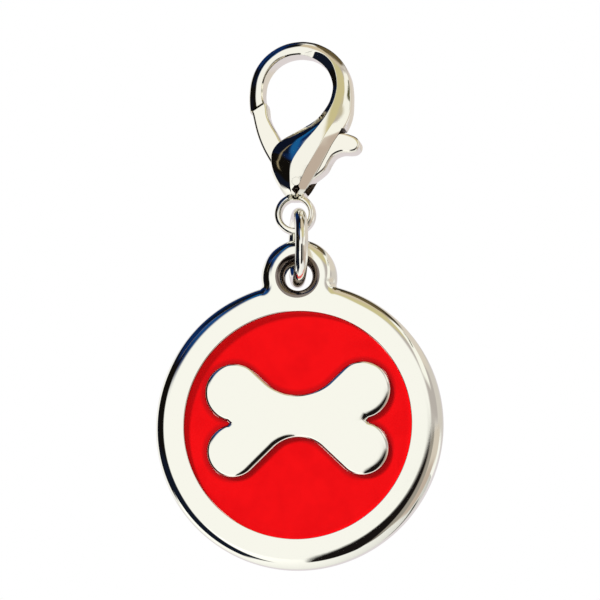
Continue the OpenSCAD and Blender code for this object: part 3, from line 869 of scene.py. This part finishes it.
# The nick's walls take the painted shade as well
combine(clasp, make_nick(), "DIFFERENCE", finish=1)
reshade(clasp)
finish_piece(clasp, "clasp", "cast_plate", clasp_plate, "clasp_body", inside=slot_and_nick_painted_shade)
lever = make_lever()
finish_piece(lever, "lever", "lever_plate", lever_plate, "clasp_lever")
pin = make_pin()
finish_piece(pin, "clasp", "pin_steel", pin_plate, "lever_pin")
spring_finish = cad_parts["lever_spring"].data.materials
spring_finish.clear()
spring_finish.append(spring_plate)


# The studio: a white surround, and coloured cards that only reflections see


# The middles that the cards stand round
CENTRE = Vector((0, 0, -26.56)) * MM
CLASP_CENTRE = Vector((0, 0, -8)) * MM

# A card's grid, in degrees
CARD_STEP = 2.5


def direction(azimuth, elevation):
    """A unit vector from the object: azimuth 0 is the front, positive to the right."""
    a, e = math.radians(azimuth), math.radians(elevation)
    return Vector((math.sin(a) * math.cos(e), -math.cos(a) * math.cos(e), math.sin(e)))


def soft_glow(name, colour):
    """A card's look: its colour, fading to nothing at its edges."""
    material = bpy.data.materials.new(name)
    material.use_nodes = True
    material.cycles.emission_sampling = "NONE"
    nodes, links = material.node_tree.nodes, material.node_tree.links
    nodes.clear()
    cover = add_node(nodes, "ShaderNodeAttribute", attribute_name="cover")
    clear = add_node(nodes, "ShaderNodeBsdfTransparent")
    glow = add_node(nodes, "ShaderNodeEmission", {"Color": (*colour, 1)})
    mix = add_node(nodes, "ShaderNodeMixShader")
    out = add_node(nodes, "ShaderNodeOutputMaterial")
    links.new(cover.outputs["Fac"], mix.inputs["Fac"])
    links.new(clear.outputs[0], mix.inputs[1])
    links.new(glow.outputs[0], mix.inputs[2])
    links.new(mix.outputs[0], out.inputs["Surface"])
    return material


def card(name, corners, colour, soft, radius, centre=CENTRE, soft_up=None):
    """A curved card round a middle that only reflections see. The corners are azimuth and elevation:
    lower left, lower right, upper right, upper left. Its sides fade over soft degrees, its ends over soft_up."""
    soft_up = soft_up or soft
    ll, lr, ur, ul = (np.array(c, float) for c in corners)
    wide = max(abs(lr[0] - ll[0]), abs(ur[0] - ul[0]))
    high = max(abs(ul[1] - ll[1]), abs(ur[1] - lr[1]))
    mesh = bmesh.new()
    cover = mesh.verts.layers.float.new("cover")
    grid = []
    for v in np.linspace(0, 1, int(high / CARD_STEP) + 4):
        row = []
        for u in np.linspace(0, 1, int(wide / CARD_STEP) + 4):
            az, el = (1 - v) * ((1 - u) * ll + u * lr) + v * ((1 - u) * ul + u * ur)
            vert = mesh.verts.new(centre + radius * direction(az, el))
            vert[cover] = rise(min(u, 1 - u) * wide / soft) * rise(min(v, 1 - v) * high / soft_up)
            row.append(vert)
        grid.append(row)
    skin(mesh, grid, closed=False)
    thing = add_object(name, mesh_data(mesh, name))
    thing.data.materials.append(soft_glow(name, colour))
    thing.visible_camera = False
    thing.visible_diffuse = False
    thing.visible_transmission = False
    thing.visible_shadow = False


def sector(az_from, az_to, el_from, el_to):
    """The corners of an upright card."""
    return (az_from, el_from), (az_to, el_from), (az_to, el_to), (az_from, el_to)


# Each has its name, corners, colour, softness and radius. The outermost ones come first, and the later ones
# stand in front of them
card("lilac backdrop", sector(138, 222, -34, 36), (0.75, 0.70, 0.74), 12, 0.62)
card("grey room", sector(6, 178, -2, 48), (0.50, 0.46, 0.455), 12, 0.60)
card("pale room", sector(72, 182, -2, 44), (0.66, 0.62, 0.60), 10, 0.595)
card("beige side wall", sector(38, 98, -44, 6), (0.55, 0.455, 0.40), 6, 0.55)
card("light beige wall", sector(36, 112, -16, 8), (0.68, 0.61, 0.55), 8, 0.548)
card("tan ceiling", sector(-14, 84, 34, 84), (0.56, 0.46, 0.33), 14, 0.53)
card("brown corner", sector(58, 205, 44, 86), (0.05, 0.036, 0.016), 34, 0.528, soft_up=8)
card("dark corner behind", sector(135, 205, 24, 60), (0.055, 0.045, 0.028), 8, 0.527)
card("olive shelf", sector(30, 130, 62, 74), (0.05, 0.042, 0.02), 14, 0.526, soft_up=4)
card("dark ceiling", sector(-180, -3, 38, 89), (0.006, 0.006, 0.007), 12, 0.515)
card("dark back ceiling", sector(-205, -110, 42, 80), (0.006, 0.007, 0.009), 8, 0.505)
card("navy side wall", ((-150, 28), (-16, 8), (-22, 60), (-150, 84)), (0.004, 0.022, 0.11), 8, 0.50)
card("blue gap", ((-52, 30), (-14, 6), (-20, 36), (-56, 54)), (0.01, 0.07, 0.26), 12, 0.49)
card("dark side wall", ((-114, -14), (-32, -14), (-31, 24), (-114, 42)), (0.006, 0.005, 0.004), 6, 0.48)
card("low dark side wall", sector(-114, -82, -24, 14), (0.006, 0.006, 0.012), 6, 0.47)
card("low dark cupboard", sector(-92, -33, -62, 0), (0.006, 0.009, 0.02), 5, 0.468)
card("grey panel", sector(-6, 45, -52, 8), (0.17, 0.145, 0.13), 8, 0.46)
card("grey slope", ((18, -42), (60, -42), (38, 6), (18, 6)), (0.34, 0.31, 0.28), 7, 0.458)
card("dark panel", ((-8, -56), (34, -56), (14, 6), (-6, 5)), (0.009, 0.007, 0.007), 4, 0.45)
card("dark rail", sector(104, 156, -38, -27), (0.02, 0.015, 0.012), 5, 0.44)

# These stand close to the clasp, so that the tag hardly sees them
card("light cloth", sector(50, 180, -3, 35), (0.72, 0.655, 0.60), 8, 0.0565, CLASP_CENTRE)
card("khaki cloth", ((5, 4), (46, 4), (64, 46), (2, 46)), (0.62, 0.56, 0.32), 9, 0.056, CLASP_CENTRE, 10)
card("tan cloth", sector(-14, 72, 38, 84), (0.66, 0.56, 0.42), 12, 0.0555, CLASP_CENTRE, 8)
card("brown cloth", sector(60, 150, 41, 80), (0.13, 0.095, 0.045), 22, 0.0552, CLASP_CENTRE, 6)
card("bright strip", ((24, -16), (56, -16), (86, 38), (60, 38)), (1, 1, 0.97), 4, 0.055, CLASP_CENTRE)
card("dark edge", ((49, 8), (55, 8), (71, 19), (64, 19)), (0.09, 0.085, 0.025), 2, 0.0545, CLASP_CENTRE)
card("dark edge above", ((64, 16), (71, 16), (76, 26), (69, 26)), (0.09, 0.085, 0.025), 2, 0.0542, CLASP_CENTRE)
card("dark blind", ((-96, 18), (-33, 18), (-44, 58), (-100, 62)), (0.004, 0.007, 0.02), 4, 0.0552, CLASP_CENTRE)
card("blue streak", ((-35, 19), (-24, 19), (-37, 54), (-50, 54)), (0.010, 0.11, 0.33), 4, 0.0548, CLASP_CENTRE)
card("pale streak", ((-60, -3), (-57, -3), (-39, 33), (-42, 33)), (0.34, 0.28, 0.17), 1.3, 0.0545, CLASP_CENTRE)


def make_floor():
    """A pale floor far below, which is clear from underneath."""
    mesh = bmesh.new()
    reach, height = 1.6, -0.52
    corners = ((-reach, -reach), (reach, -reach), (reach, reach), (-reach, reach))
    mesh.faces.new([mesh.verts.new((x, y, height)) for x, y in corners])
    floor = add_object("pale_floor", mesh_data(mesh, "pale_floor"))
    material, nodes, links, shader = new_material("pale floor")
    shader.inputs["Base Color"].default_value = (0.80, 0.80, 0.80, 1)
    shader.inputs["Roughness"].default_value = 0.9
    facing = add_node(nodes, "ShaderNodeNewGeometry")
    clear = add_node(nodes, "ShaderNodeBsdfTransparent")
    mix = add_node(nodes, "ShaderNodeMixShader")
    links.new(facing.outputs["Backfacing"], mix.inputs["Fac"])
    links.new(shader.outputs["BSDF"], mix.inputs[1])
    links.new(clear.outputs["BSDF"], mix.inputs[2])
    links.new(mix.outputs[0], nodes["Material Output"].inputs["Surface"])
    floor.data.materials.append(material)


def make_world():
    """A white surround for the camera and for reflections. It lights the rest at a part of its strength."""
    world = bpy.data.worlds.new("studio")
    bpy.context.scene.world = world
    world.use_nodes = True
    nodes, links = world.node_tree.nodes, world.node_tree.links
    background = nodes["Background"]
    background.inputs["Color"].default_value = (1, 1, 1, 1)
    seen = add_node(nodes, "ShaderNodeLightPath")
    either = add_node(nodes, "ShaderNodeMath", operation="MAXIMUM")
    any_of = add_node(nodes, "ShaderNodeMath", operation="MAXIMUM")
    strength = add_node(nodes, "ShaderNodeMapRange", {"To Min": 0.38, "To Max": 1})
    links.new(seen.outputs["Is Camera Ray"], either.inputs[0])
    links.new(seen.outputs["Is Glossy Ray"], either.inputs[1])
    links.new(either.outputs[0], any_of.inputs[0])
    links.new(seen.outputs["Is Transmission Ray"], any_of.inputs[1])
    links.new(any_of.outputs[0], strength.inputs["Value"])
    links.new(strength.outputs["Result"], background.inputs["Strength"])


def aim(thing, azimuth, elevation, distance):
    """Sets a lamp or a camera on its direction and turns it to the object."""
    way = direction(azimuth, elevation)
    thing.location = CENTRE + distance * way
    thing.rotation_euler = (-way).to_track_quat("-Z", "Y").to_euler()


def soft_key():
    """The lamp, high on the left."""
    data = bpy.data.lights.new("soft key", "AREA")
    data.shape = "DISK"
    data.size = 0.4
    data.energy = 124
    thing = add_object("soft key", data)
    aim(thing, azimuth=-62, elevation=42, distance=3.0)
    thing.visible_glossy = False


def photo_camera():
    """The photo's view: a little from the right and from below."""
    data = bpy.data.cameras.new("photo camera")
    thing = add_object("photo camera", data)
    distance, seen_width = 0.7, 64.5 * MM
    data.sensor_width = 36
    data.lens = data.sensor_width * distance / seen_width
    data.clip_start = 0.01
    data.clip_end = 20
    aim(thing, azimuth=8, elevation=-9, distance=distance)
    bpy.context.scene.camera = thing


make_floor()
make_world()
soft_key()
photo_camera()
bpy.context.scene.view_settings.view_transform = "Standard"
